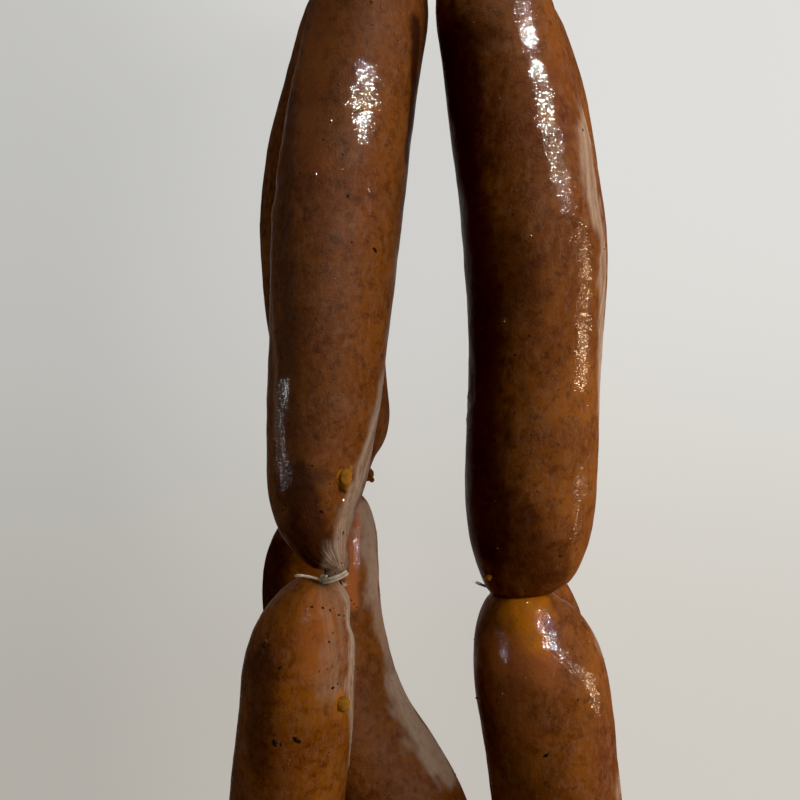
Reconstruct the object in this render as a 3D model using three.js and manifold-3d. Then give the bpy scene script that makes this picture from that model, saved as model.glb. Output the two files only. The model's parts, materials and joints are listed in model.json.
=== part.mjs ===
// String of grilled sausage links: one casing tied off with twine into eight links, folded double and laid
// down.
// Links 3 to 6 lie on the table as a U. At the two top folds the string turns back over them, so that links 2
// and 1 lie on the left arm and links 7 and 8 on the right arm. Links 1 and 8 are the free ends.
// Millimetres, +Z up, +Y along the string towards the top folds.

import * as THREE from "three";
import { mergeVertices } from "three/addons/utils/BufferGeometryUtils.js";
import Module from "manifold-3d";

const wasm = await Module();
wasm.setup();

// Casing
const NECK_RADIUS = 2.7;
const NECK_LENGTH = 1.9;
const STRAIGHT_LENGTH = 3.2;
const JOINT_GAP = 0.3;
const STUB_LENGTH = 7;
const STUB_RADIUS = 4.2;
const LUMP = 0.01;
const PRESS = 0.7;
const CROWN_RADIUS = 6.8;
const HOLLOW_RADIUS = 5.8;

// Twine
const TWINE_RADIUS = 0.65;
const TWINE_CLEARANCE = 0.35;
const WRAP_PITCH = 1.35;
const KNOT_RADIUS = 1.3;

// How finely the round forms are divided
const AROUND = 22;
const DOME_STATIONS = 7;
const BODY_STATIONS = 8;
const STEPS = 240;

const CASING_COLOR = 0x5c2a10;
const TWINE_COLOR = 0xcbbfa6;

// The ties in order along the string. "tails" is the way the cut ends of the twine point, and "lean" is how
// far the long one leans back along the string.
const TIES = [
  { at: [-29.5, -199, 10.5], tails: [-1, -0.3, 0.4] },
  { at: [-16.9, -45.3, 45], tails: [-1, 0, 0.7] },
  { at: [-8.4, 111.8, 31], tails: [-0.4, 1, 0] },
  { at: [-14, -25, 13.5], tails: [0.3, 0, 1] },
  { at: [24, -178, 13.5], tails: [0, -1, 0.2] },
  { at: [37.5, -45.5, 13], tails: [1, 0, 0.2] },
  { at: [24.6, 112.2, 31.5], tails: [0.4, 1, 0] },
  { at: [31, -48.2, 45.8], tails: [-1, 0.25, -0.3], lean: 2 },
  { at: [37.5, -197, 38], tails: [0.8, -0.4, 0.4] },
];

// A domed end: its length, how pointed it is (0.5 is round, 1 is a cone) and how deep a hollow is at the tie.
function end(dome, point = 0.5, hollow = 0) {
  return { dome, point, hollow };
}

// Each link's centre line between its two ties, its radius at even steps from the first tie to the second,
// and its two ends.
const LINKS = [
  {
    through: [
      [-30.5, -186, 12.6], [-32.5, -160, 19.5], [-31, -125, 33.6], [-28.6, -101, 42.5],
      [-26, -78, 47.1], [-24.7, -63, 46.7], [-21.2, -52.6, 45.6],
    ],
    radius: [14, 14.6, 15, 14.9, 14.7, 14.4, 14],
    ends: [end(24), end(24, 0.55)],
  },
  {
    through: [
      [-18, -39, 44.8], [-21.4, -30, 44.4], [-20, -9, 44.8], [-17.9, 14, 46.3], [-16.7, 38, 46.7],
      [-13.5, 64, 45.7], [-10, 86, 45.2], [-7.5, 100, 44.9], [-7.2, 108, 41.5], [-7.9, 111.3, 36.5],
    ],
    radius: [12, 13.1, 14.8, 16.2, 16, 15.2, 14.2],
    ends: [end(32, 0.85), end(24)],
  },
  {
    through: [
      [-10.2, 111.5, 25], [-12.5, 107.5, 19.5], [-14.6, 100, 15.6], [-18, 86, 15.2], [-22.1, 68, 15.2],
      [-23.7, 48, 15.2], [-22.5, 28, 15.2], [-19.6, 8, 15.2], [-17.4, -8, 15], [-15.8, -17, 14.4],
    ],
    radius: [14.4, 15, 15.6, 15.7, 15.7, 15.6, 15],
    ends: [end(24), end(21, 0.75)],
  },
  {
    through: [
      [-15.8, -32, 14.8], [-20.3, -41, 15.9], [-22.8, -52, 16.2], [-20.9, -68, 16.2], [-14.8, -88, 15.9],
      [-4.2, -104, 15.6], [4.5, -117, 15.4], [9, -137, 15], [9.5, -155, 14.6], [12, -168, 14.2],
      [17, -176, 13.8],
    ],
    radius: [16.2, 16.5, 16.7, 16.2, 15.6, 15, 14],
    ends: [end(25, 0.65), end(23)],
  },
  {
    through: [
      [31, -176, 13.8], [38.5, -168, 14.2], [43.5, -155, 14.8], [45, -138, 15.1], [41.5, -112, 15.1],
      [38.2, -88, 15.1], [37.2, -64, 14.9], [37.2, -54, 14.3],
    ],
    radius: [14.2, 15, 15.5, 15.6, 15.4, 14.9, 14.4],
    ends: [end(23), end(21)],
  },
  {
    through: [
      [37.8, -36, 14.4], [38.4, -22, 15], [39.5, 5, 15.1], [40.5, 35, 15.1], [40.8, 60, 15.1],
      [38.4, 82, 15], [34.2, 95, 15.1], [29.8, 104.5, 16.8], [27, 110, 21], [25.4, 112, 26],
    ],
    radius: [14.6, 15.3, 15.6, 15.6, 15.4, 15, 14.4],
    ends: [end(21), end(24)],
  },
  {
    through: [
      [23.2, 112, 37], [21.8, 108.5, 42.5], [22.9, 100.5, 46], [26, 86, 46.4], [29.6, 68, 47],
      [33, 48, 48.2], [33.8, 30, 48.2], [33.8, 5, 46.6], [33, -15, 46.5], [32.4, -30, 46.2], [31.6, -40, 46],
    ],
    radius: [13, 14.6, 17, 18.3, 16.2, 16.4, 15.8],
    ends: [end(24), end(25, 0.5, 0.8)],
  },
  {
    through: [
      [31.6, -55, 46.4], [34, -65, 47], [36.1, -76, 47.5], [38.2, -89, 47.1], [40.2, -105, 46.5],
      [42, -125, 46.2], [42, -150, 46.1], [40, -172, 44.5], [38.5, -186, 41.5],
    ],
    radius: [16.2, 16.9, 15.8, 15.6, 15.6, 15.2, 14.4],
    ends: [end(24, 0.5, 0.8), end(23)],
  },
];

// Beads of melted cheese that have come through the casing: the link each lies on, its place and three radii.
const BEADS = [
  { link: 2, at: [-13.4, -19.5, 54.8], size: [1.3, 2.4, 1.2] },
  { link: 1, at: [-13.8, -73.7, 55.2], size: [1.8, 1.9, 1.4] },
  { link: 3, at: [-9.2, -21.2, 15.5], size: [1.6, 1.7, 1.6] },
];

// One smooth centre line for the whole string: stub, tie, link, tie, and so on to the other stub. It runs
// straight through each tie.
const linePoints = [];
const tieIndex = [];
function lowered([x, y, z]) {
  return new THREE.Vector3(x, y, z - PRESS);
}
TIES.forEach((tie, i) => {
  const at = lowered(tie.at);
  const before = i > 0 ? lowered(LINKS[i - 1].through.at(-1)) : null;
  const after = i < LINKS.length ? lowered(LINKS[i].through[0]) : null;
  const way = (after ?? at).clone().sub(before ?? at).normalize();
  const shift = (distance) => at.clone().addScaledVector(way, distance);
  if (!before) linePoints.push(shift(-STUB_LENGTH));
  linePoints.push(shift(-STRAIGHT_LENGTH));
  tieIndex.push(linePoints.length);
  linePoints.push(at, shift(STRAIGHT_LENGTH));
  if (!after) linePoints.push(shift(STUB_LENGTH));
  else LINKS[i].through.forEach((point) => linePoints.push(lowered(point)));
});
const line = new THREE.CatmullRomCurve3(linePoints, false, "centripetal");

// The stretch of the centre line between two of its points.
class Stretch extends THREE.Curve {
  constructor(first, last) {
    super();
    this.first = first / (linePoints.length - 1);
    this.last = last / (linePoints.length - 1);
    this.arcLengthDivisions = STEPS * 4;
  }
  getPoint(t, target) {
    return line.getPoint(this.first + (this.last - this.first) * t, target);
  }
}

function smooth(t) {
  const c = Math.min(Math.max(t, 0), 1);
  return c * c * (3 - 2 * c);
}

// Radius of a full link at a share of its length.
function girth(radius, share) {
  const place = Math.min(Math.max(share, 0), 1) * (radius.length - 1);
  const step = Math.min(Math.floor(place), radius.length - 2);
  return radius[step] + (radius[step + 1] - radius[step]) * smooth(place - step);
}

// One end of a link as [radius, distance from the tie], from the joint to where the full girth starts.
function endStations({ dome, point, hollow }, fullAt) {
  const stations = [[0, JOINT_GAP / 2], [NECK_RADIUS, JOINT_GAP / 2], [NECK_RADIUS, NECK_LENGTH]];
  const inner = hollow ? CROWN_RADIUS : NECK_RADIUS;
  const start = NECK_LENGTH - hollow;
  if (hollow) stations.push([HOLLOW_RADIUS, NECK_LENGTH], [CROWN_RADIUS, start]);
  for (let i = 1; i <= DOME_STATIONS; i++) {
    const t = Math.pow(i / DOME_STATIONS, 1.7);
    const swell = Math.pow(1 - (1 - t) * (1 - t), point);
    stations.push([inner + (fullAt(start + dome * t) - inner) * swell, start + dome * t]);
  }
  return stations;
}

// The same for the casing that sticks out past the tie at a free end of the string.
function stubStations() {
  return [
    [0, -STUB_LENGTH],
    [STUB_RADIUS * 0.8, -STUB_LENGTH],
    [STUB_RADIUS, 1 - STUB_LENGTH],
    [NECK_RADIUS, -NECK_LENGTH],
  ];
}

// Profile of one link from end to end as lathe points: radius across, distance along from its first tie.
function profile(link, length, index) {
  const [first, second] = link.ends;
  const early = endStations(first, (s) => girth(link.radius, s / length));
  const late = endStations(second, (s) => girth(link.radius, 1 - s / length));
  if (index === 0) early.splice(0, 2, ...stubStations());
  if (index === LINKS.length - 1) late.splice(0, 2, ...stubStations());
  const body = [];
  const from = early.at(-1)[1];
  const to = length - late.at(-1)[1];
  for (let i = 1; i < BODY_STATIONS; i++) {
    const s = from + ((to - from) * i) / BODY_STATIONS;
    body.push([girth(link.radius, s / length), s]);
  }
  const turned = late.reverse().map(([r, s]) => [r, length - s]);
  return [...early, ...body, ...turned].map(([r, s]) => new THREE.Vector2(r, s));
}

// A link as a lathed solid bent along its stretch of the centre line, flattened where it meets the table.
function linkGeometry(link, index) {
  const outside = [index === 0 ? STUB_LENGTH : 0, index === LINKS.length - 1 ? STUB_LENGTH : 0];
  const first = tieIndex[index] - (outside[0] ? 2 : 0);
  const last = tieIndex[index + 1] + (outside[1] ? 2 : 0);
  const stretch = new Stretch(first, last);
  const whole = stretch.getLength();
  const length = whole - outside[0] - outside[1];
  const frames = stretch.computeFrenetFrames(STEPS, false);
  const geometry = new THREE.LatheGeometry(profile(link, length, index), AROUND);
  const position = geometry.getAttribute("position");
  const point = new THREE.Vector3();
  for (let i = 0; i < position.count; i++) {
    const across = position.getX(i);
    const up = position.getZ(i);
    const share = Math.min(Math.max((position.getY(i) + outside[0]) / whole, 0), 1);
    const step = Math.round(share * STEPS);
    const turn = Math.atan2(across, up);
    const wave = Math.sin(2 * turn + 9 * share + index) + Math.sin(3 * turn - 14 * share + 2 * index);
    const swollen = 1 + LUMP * wave * smooth(Math.hypot(across, up) / 10);
    stretch.getPointAt(share, point);
    point.addScaledVector(frames.normals[step], across * swollen);
    point.addScaledVector(frames.binormals[step], -up * swollen);
    position.setXYZ(i, point.x, point.y, Math.max(point.z, 0));
  }
  return geometry;
}

// A closed solid for joining, from any geometry.
function solid(geometry) {
  const bare = new THREE.BufferGeometry();
  const loose = geometry.index ? geometry.toNonIndexed() : geometry;
  bare.setAttribute("position", loose.getAttribute("position"));
  const merged = mergeVertices(bare, 1e-3);
  const corners = merged.index.array;
  const kept = [];
  for (let i = 0; i < corners.length; i += 3) {
    const [a, b, c] = [corners[i], corners[i + 1], corners[i + 2]];
    if (a !== b && b !== c && c !== a) kept.push(a, b, c);
  }
  const vertProperties = merged.getAttribute("position").array;
  return new wasm.Manifold(new wasm.Mesh({ numProp: 3, vertProperties, triVerts: new Uint32Array(kept) }));
}

function geometryOf(manifold) {
  const mesh = manifold.getMesh();
  const geometry = new THREE.BufferGeometry();
  geometry.setAttribute("position", new THREE.BufferAttribute(mesh.vertProperties, 3));
  geometry.setIndex(new THREE.BufferAttribute(mesh.triVerts, 1));
  geometry.computeVertexNormals();
  return geometry;
}

function beadGeometry(bead) {
  const geometry = new THREE.SphereGeometry(1, 10, 7);
  geometry.scale(...bead.size);
  geometry.translate(...lowered(bead.at).toArray());
  return geometry;
}

// Two turns of twine side by side as one ring round the Y axis.
function wrapGeometry() {
  const inner = NECK_RADIUS + TWINE_CLEARANCE;
  const ring = inner + TWINE_RADIUS;
  const half = WRAP_PITCH / 2;
  const section = [];
  for (const centre of [-half, half]) {
    for (let i = 0; i <= 3; i++) {
      const turn = -Math.PI / 2 + (Math.PI * i) / 3;
      section.push([ring + TWINE_RADIUS * Math.cos(turn), centre + TWINE_RADIUS * Math.sin(turn)]);
    }
  }
  section.push([inner, half], [inner, -half]);
  section.push(section[0]);
  return new THREE.LatheGeometry(section.map(([r, y]) => new THREE.Vector2(r, y)), 12);
}

// A cut end of the twine that leaves the knot along local X, spreads across the neck and leans back along it.
function tailGeometry(length, spread, lean = 0) {
  const start = NECK_RADIUS + TWINE_CLEARANCE + TWINE_RADIUS;
  const path = new THREE.CatmullRomCurve3([
    new THREE.Vector3(start, 0, 0),
    new THREE.Vector3(start + length * 0.5, -lean * 0.2, spread * 0.3),
    new THREE.Vector3(start + length, -lean, spread),
  ]);
  const section = new THREE.Shape();
  for (let i = 0; i < 6; i++) {
    const turn = (Math.PI * i) / 3;
    const [x, y] = [TWINE_RADIUS * Math.cos(turn), TWINE_RADIUS * Math.sin(turn)];
    if (i === 0) section.moveTo(x, y);
    else section.lineTo(x, y);
  }
  return new THREE.ExtrudeGeometry(section, { steps: 3, bevelEnabled: false, extrudePath: path });
}

function tieGeometry(index, lean) {
  const knot = new THREE.SphereGeometry(KNOT_RADIUS, 6, 4);
  knot.scale(1, 0.8, 1.1);
  knot.translate(NECK_RADIUS + TWINE_CLEARANCE + TWINE_RADIUS + 0.5, 0, 0);
  const longTail = tailGeometry(6.5 + (index % 3) + 0.5 * lean, -1.2, lean);
  const shortTail = tailGeometry(3.2 + (index % 2), 2);
  const pieces = [wrapGeometry(), knot, longTail, shortTail].map(solid);
  return geometryOf(pieces.reduce((made, piece) => made.add(piece)));
}

const string = new THREE.Group();
string.name = "sausage_string";

LINKS.forEach((link, i) => {
  const beads = BEADS.filter((bead) => bead.link === i + 1).map((bead) => solid(beadGeometry(bead)));
  const body = beads.reduce((made, bead) => made.add(bead), solid(linkGeometry(link, i)));
  const material = new THREE.MeshStandardMaterial({ color: CASING_COLOR, roughness: 0.3, metalness: 0 });
  const mesh = new THREE.Mesh(geometryOf(body), material);
  mesh.name = "link_" + (i + 1);
  string.add(mesh);
});

TIES.forEach((tie, i) => {
  const neck = line.getTangent(tieIndex[i] / (linePoints.length - 1));
  const tails = new THREE.Vector3(...tie.tails);
  tails.addScaledVector(neck, -tails.dot(neck)).normalize();
  const basis = new THREE.Matrix4().makeBasis(tails, neck, tails.clone().cross(neck));
  const material = new THREE.MeshStandardMaterial({ color: TWINE_COLOR, roughness: 0.9, metalness: 0 });
  const mesh = new THREE.Mesh(tieGeometry(i, tie.lean ?? 0), material);
  mesh.name = "tie_" + (i + 1);
  mesh.quaternion.setFromRotationMatrix(basis);
  mesh.position.copy(lowered(tie.at));
  string.add(mesh);
});

// The origin is on the table, under the middle of the string.
const box = new THREE.Box3().setFromObject(string, true);
const middle = box.getCenter(new THREE.Vector3());
for (const mesh of string.children) {
  mesh.position.x -= middle.x;
  mesh.position.y -= middle.y;
  mesh.position.z -= box.min.z;
}

export default string;
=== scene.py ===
"""Dresses the string of grilled sausage links: casing, twine, cheese, pepper, crumbs and fat."""

import heapq
import json
import math

import bmesh
import bpy
import numpy as np
from bpy.props import FloatProperty, FloatVectorProperty, IntProperty, PointerProperty
from mathutils import Matrix, Vector
from mathutils.bvhtree import BVHTree

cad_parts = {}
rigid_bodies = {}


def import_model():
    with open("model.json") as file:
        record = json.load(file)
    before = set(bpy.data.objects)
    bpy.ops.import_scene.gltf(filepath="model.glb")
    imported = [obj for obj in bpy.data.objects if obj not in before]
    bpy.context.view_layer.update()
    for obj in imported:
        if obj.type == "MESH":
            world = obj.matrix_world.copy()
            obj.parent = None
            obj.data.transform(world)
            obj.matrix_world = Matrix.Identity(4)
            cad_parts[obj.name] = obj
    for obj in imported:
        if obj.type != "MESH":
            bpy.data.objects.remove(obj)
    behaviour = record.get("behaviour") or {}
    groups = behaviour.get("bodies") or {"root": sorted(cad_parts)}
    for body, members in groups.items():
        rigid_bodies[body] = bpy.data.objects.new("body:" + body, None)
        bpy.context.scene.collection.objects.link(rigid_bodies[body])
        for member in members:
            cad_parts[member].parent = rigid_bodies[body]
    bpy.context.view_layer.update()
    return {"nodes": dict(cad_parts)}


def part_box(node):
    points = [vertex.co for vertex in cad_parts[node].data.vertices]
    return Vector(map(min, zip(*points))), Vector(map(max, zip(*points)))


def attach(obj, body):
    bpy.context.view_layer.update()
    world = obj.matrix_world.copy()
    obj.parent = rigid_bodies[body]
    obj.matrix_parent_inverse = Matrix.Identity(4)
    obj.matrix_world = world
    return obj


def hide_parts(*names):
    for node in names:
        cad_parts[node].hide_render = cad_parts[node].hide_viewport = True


bl_info = {
    "name": "Grilled sausage string",
    "version": (1, 0, 0),
    "blender": (4, 5, 0),
    "location": "3D View > Sidebar > Sausages",
    "description": "Casing, twine and toppings for a string of sausage links, with its stage",
    "category": "Object",
}

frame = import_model()

MM = 0.001
LINKS = sorted(name for name in frame["nodes"] if name.startswith("link_"))
TIES = sorted(name for name in frame["nodes"] if name.startswith("tie_"))

# The photograph's view: straight down, its upper edge towards +Y
PHOTO_SIDE = 800
PHOTO_FOCAL = 1000
SENSOR_WIDTH = 36
CAMERA_AT = Vector((-6.68, 41.39, 297.3)) * MM

# Where the front links' skin lies above the table
SKIN_HEIGHT = 40 * MM

# First seeds of the casing's random forms, to which a link's number is added
SEEDS = {
    "lumps": 0, "small_lumps": 20, "ripple": 40, "pleats": 60, "pale": 80, "threads": 90,
    "dark": 100, "cheese": 120, "bright": 140, "wet": 160,
}


def smooth(low, high, value):
    """0 below low, 1 above high, and an S-curve between them."""
    t = np.clip((value - low) / (high - low), 0, 1)
    return t * t * (3 - 2 * t)


def cloud(points, size, seed):
    """Smooth random swell, about -1 to 1, whose lumps are about the given size across."""
    rng = np.random.default_rng(seed)
    table = rng.permutation(256)
    slopes = rng.normal(size=(256, 3))
    slopes /= np.linalg.norm(slopes, axis=1, keepdims=True)
    scaled = points / size
    cell = np.floor(scaled).astype(int)
    inside = scaled - cell
    fade = inside ** 3 * (inside * (inside * 6 - 15) + 10)
    total = np.zeros(len(points))
    for corner in np.ndindex(2, 2, 2):
        at = cell + corner
        key = table[at[:, 0] % 256]
        key = table[(key + at[:, 1]) % 256]
        key = table[(key + at[:, 2]) % 256]
        weight = np.prod(np.where(np.array(corner) == 1, fade, 1 - fade), axis=1)
        total += weight * ((inside - corner) * slopes[key]).sum(axis=1)
    return total * 1.6


def photo_ray(px, py):
    """The way the camera looks through a pixel of the photograph."""
    half = PHOTO_SIDE / 2
    return Vector(((px - half) / PHOTO_FOCAL, (half - py) / PHOTO_FOCAL, -1)).normalized()


def surface_tree(mesh):
    """A search tree over a mesh's faces."""
    return BVHTree.FromPolygons([v.co for v in mesh.vertices], [p.vertices for p in mesh.polygons])


def photo_spot(tree, px, py):
    """Where a pixel's ray meets a surface, or the surface point nearest to that ray past its edge."""
    ray = photo_ray(px, py)
    place, normal, _, _ = tree.ray_cast(CAMERA_AT, ray)
    if place is None:
        reach = CAMERA_AT.z - SKIN_HEIGHT
        place, normal, _, _ = tree.find_nearest(CAMERA_AT + ray * (reach / -ray.z))
    return place, normal


def mesh_points(mesh):
    """A mesh's points as an array."""
    flat = np.empty(len(mesh.vertices) * 3)
    mesh.vertices.foreach_get("co", flat)
    return flat.reshape(-1, 3)


def mesh_normals(mesh):
    """A mesh's point normals as an array."""
    flat = np.empty(len(mesh.vertices) * 3)
    mesh.vertex_normals.foreach_get("vector", flat)
    return flat.reshape(-1, 3)


def put_points(mesh, points):
    """Moves a mesh's points to the given places."""
    mesh.vertices.foreach_set("co", points.astype(np.float32).ravel())
    mesh.update()


def put_mask(mesh, name, values):
    """Stores one number for each point, for the material to read."""
    layer = mesh.attributes.get(name) or mesh.attributes.new(name, "FLOAT", "POINT")
    layer.data.foreach_set("value", values.astype(np.float32))


def show(name, mesh, material=None):
    """Puts a mesh in the scene as a smooth object."""
    piece = bpy.data.objects.new(name, mesh)
    bpy.context.scene.collection.objects.link(piece)
    if material:
        mesh.materials.append(material)
    mesh.shade_smooth()
    return piece


def mesh_of(name, points, faces):
    """A mesh from lists of points and faces."""
    mesh = bpy.data.meshes.new(name)
    mesh.from_pydata([tuple(p) for p in points], [], faces)
    mesh.update()
    return mesh


def run_along(path):
    """How far along a path each of its points lies."""
    return np.concatenate([[0], np.cumsum(np.linalg.norm(np.diff(path, axis=0), axis=1))])


def between(places, known, rows):
    """Rows of three numbers read off at places between the known ones."""
    return np.stack([np.interp(places, known, rows[:, i]) for i in range(3)], axis=1)


def headings(path):
    """The unit direction at each point of a path."""
    tangent = np.gradient(path, axis=0)
    return tangent / np.linalg.norm(tangent, axis=1, keepdims=True)


def carried(up, tangents):
    """A direction carried along a path without twist, square to it at each point."""
    ups = []
    for tangent in tangents:
        up = up - tangent * (up @ tangent)
        up = up / np.linalg.norm(up)
        ups.append(up)
    return np.array(ups)


# Centre lines of the links


class CentreLine:
    """A link's centre line, worked out from its solid, with the way round at each point."""

    STATIONS = 26
    FIRST_STATIONS = 15

    def __init__(self, name):
        number = int(name.split("_")[1])
        bm = welded(name)
        bm.verts.ensure_lookup_table()
        points = np.array([v.co for v in bm.verts])
        last_tie = sum(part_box(f"tie_{number + 1}"), Vector()) / 2
        from_last = self.walk(bm, int(np.argmin(np.linalg.norm(points - last_tie, axis=1))))
        along = self.walk(bm, int(np.argmax(from_last)))
        bm.free()
        bins = np.linspace(0, along.max(), self.FIRST_STATIONS)
        reach = along.max() / (self.FIRST_STATIONS - 1)
        near = [np.abs(along - b) < reach for b in bins]
        self.at = np.array([points[n].mean(axis=0) for n in near])
        self.at[0] = points[along < 2 * MM].mean(axis=0)
        self.at[-1] = points[along > along.max() - 2 * MM].mean(axis=0)
        for _ in range(4):
            self.respace()
            self.centre(points)
        self.respace()
        self.turn()

    @staticmethod
    def walk(bm, start):
        """How far each point lies from the start, along the mesh's edges."""
        far = np.full(len(bm.verts), np.inf)
        far[start] = 0
        queue = [(0.0, start)]
        while queue:
            length, index = heapq.heappop(queue)
            if length > far[index]:
                continue
            for edge in bm.verts[index].link_edges:
                other = edge.other_vert(bm.verts[index]).index
                longer = length + edge.calc_length()
                if longer < far[other]:
                    far[other] = longer
                    heapq.heappush(queue, (longer, other))
        return far

    def respace(self):
        """Evens out the spacing of the stations."""
        run = run_along(self.at)
        self.at = between(np.linspace(0, run[-1], self.STATIONS), run, self.at)
        self.length = run[-1]

    def centre(self, points):
        """Moves each inner station to the middle of the points round it."""
        along, _ = self.nearest(points)
        spacing = self.length / (self.STATIONS - 1)
        moved = self.at.copy()
        for i in range(1, self.STATIONS - 1):
            weight = np.exp(-((along - i * spacing) / (1.6 * spacing)) ** 2)
            middle = (points * weight[:, None]).sum(axis=0) / weight.sum()
            shift = middle - self.at[i]
            tangent = self.at[i + 1] - self.at[i - 1]
            tangent /= np.linalg.norm(tangent)
            moved[i] = self.at[i] + shift - tangent * (shift @ tangent)
        moved[1:-1] = (moved[:-2] + 2 * moved[1:-1] + moved[2:]) / 4
        self.at = moved

    def turn(self):
        """Sets the up and side directions at each station, with no twist between them."""
        self.tangent = headings(self.at)
        middle = self.STATIONS // 2
        after = carried(np.array([0.0, 0.0, 1.0]), self.tangent[middle:])
        before = carried(after[0], self.tangent[middle::-1])
        self.up = np.concatenate([before[:0:-1], after])
        self.side = np.cross(self.tangent, self.up)
        if self.side[middle][0] < 0:
            self.side = -self.side

    def nearest(self, points):
        """How far along the line each point lies, and the place on the line beside it."""
        best = np.full(len(points), np.inf)
        along = np.zeros(len(points))
        foot = np.zeros_like(points)
        spacing = self.length / (self.STATIONS - 1)
        for i in range(self.STATIONS - 1):
            start = self.at[i]
            step = self.at[i + 1] - start
            share = np.clip((points - start) @ step / (step @ step), 0, 1)
            spot = start + share[:, None] * step
            gap = np.linalg.norm(points - spot, axis=1)
            closer = gap < best
            best[closer] = gap[closer]
            along[closer] = (i + share[closer]) * spacing
            foot[closer] = spot[closer]
        return along, foot

    def unroll(self, points):
        """Each point's distance along the line, angle round it from the top and distance off it."""
        along, foot = self.nearest(points)
        place = along / self.length * (self.STATIONS - 1)
        index = np.arange(self.STATIONS)
        up = between(place, index, self.up)
        side = between(place, index, self.side)
        off = points - foot
        angle = np.arctan2((off * side).sum(axis=1), (off * up).sum(axis=1))
        return along, angle, np.linalg.norm(off, axis=1)


def welded(name):
    """A node's mesh with its facets joined at their corners."""
    bm = bmesh.new()
    bm.from_mesh(frame["nodes"][name].data)
    bmesh.ops.remove_doubles(bm, verts=bm.verts, dist=0.001 * MM)
    return bm


# Materials


class Finish:
    """A material made of nodes, with short calls to add and join them."""

    def __init__(self, name):
        self.material = bpy.data.materials.new(name)
        self.material.use_nodes = True
        self.tree = self.material.node_tree
        self.shader = self.tree.nodes["Principled BSDF"]
        self.place = self.add("ShaderNodeTexCoord").outputs["Object"]

    def add(self, kind, **settings):
        node = self.tree.nodes.new(kind)
        for key, value in settings.items():
            setattr(node, key, value)
        return node

    def join(self, source, socket):
        """Joins an output to a socket, or sets a plain value on it."""
        if isinstance(source, bpy.types.NodeSocket):
            self.tree.links.new(source, socket)
        else:
            socket.default_value = source

    def set(self, **values):
        """Sets or joins the shader's sockets, named with spaces as underscores."""
        for key, value in values.items():
            self.join(value, self.shader.inputs[key.replace("_", " ")])

    def mask(self, name):
        """A number stored on the mesh."""
        return self.add("ShaderNodeAttribute", attribute_name=name).outputs["Fac"]

    def noise(self, size, detail=3, rough=0.55, warp=0.0, stretch=None):
        """Cloudy noise whose lumps are about the given size across."""
        node = self.add("ShaderNodeTexNoise")
        place = self.place
        if stretch:
            mapping = self.add("ShaderNodeMapping")
            mapping.inputs["Scale"].default_value = stretch
            self.join(place, mapping.inputs["Vector"])
            place = mapping.outputs["Vector"]
        self.join(place, node.inputs["Vector"])
        node.inputs["Scale"].default_value = 1 / size
        node.inputs["Detail"].default_value = detail
        node.inputs["Roughness"].default_value = rough
        node.inputs["Distortion"].default_value = warp
        return node.outputs["Fac"]

    def dots(self, spacing):
        """The distance from scattered spots, as a share of their spacing."""
        node = self.add("ShaderNodeTexVoronoi")
        self.join(self.place, node.inputs["Vector"])
        node.inputs["Scale"].default_value = 1 / spacing
        return node.outputs["Distance"]

    def ramp(self, value, low, high, to_low=0.0, to_high=1.0):
        """Maps a range of a number onto another range."""
        node = self.add("ShaderNodeMapRange", interpolation_type="SMOOTHSTEP")
        self.join(value, node.inputs["Value"])
        for key, number in zip(("From Min", "From Max", "To Min", "To Max"), (low, high, to_low, to_high)):
            node.inputs[key].default_value = number
        return node.outputs["Result"]

    def math(self, kind, a, b):
        node = self.add("ShaderNodeMath", operation=kind)
        self.join(a, node.inputs[0])
        self.join(b, node.inputs[1])
        return node.outputs["Value"]

    def mix(self, share, a, b):
        """One colour turning into another."""
        node = self.add("ShaderNodeMix", data_type="RGBA")
        self.join(share, node.inputs["Factor"])
        self.join(rgba(a), node.inputs[6])
        self.join(rgba(b), node.inputs[7])
        return node.outputs[2]

    def bump(self, height, depth, strength, under=None):
        """A fine relief of the given depth, on top of another one."""
        node = self.add("ShaderNodeBump")
        self.join(height, node.inputs["Height"])
        node.inputs["Distance"].default_value = depth
        node.inputs["Strength"].default_value = strength
        if under:
            self.join(under, node.inputs["Normal"])
        return node.outputs["Normal"]


def rgba(colour):
    """A colour with its alpha, or a socket as it is."""
    return colour if isinstance(colour, bpy.types.NodeSocket) else (*colour, 1)


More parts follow.
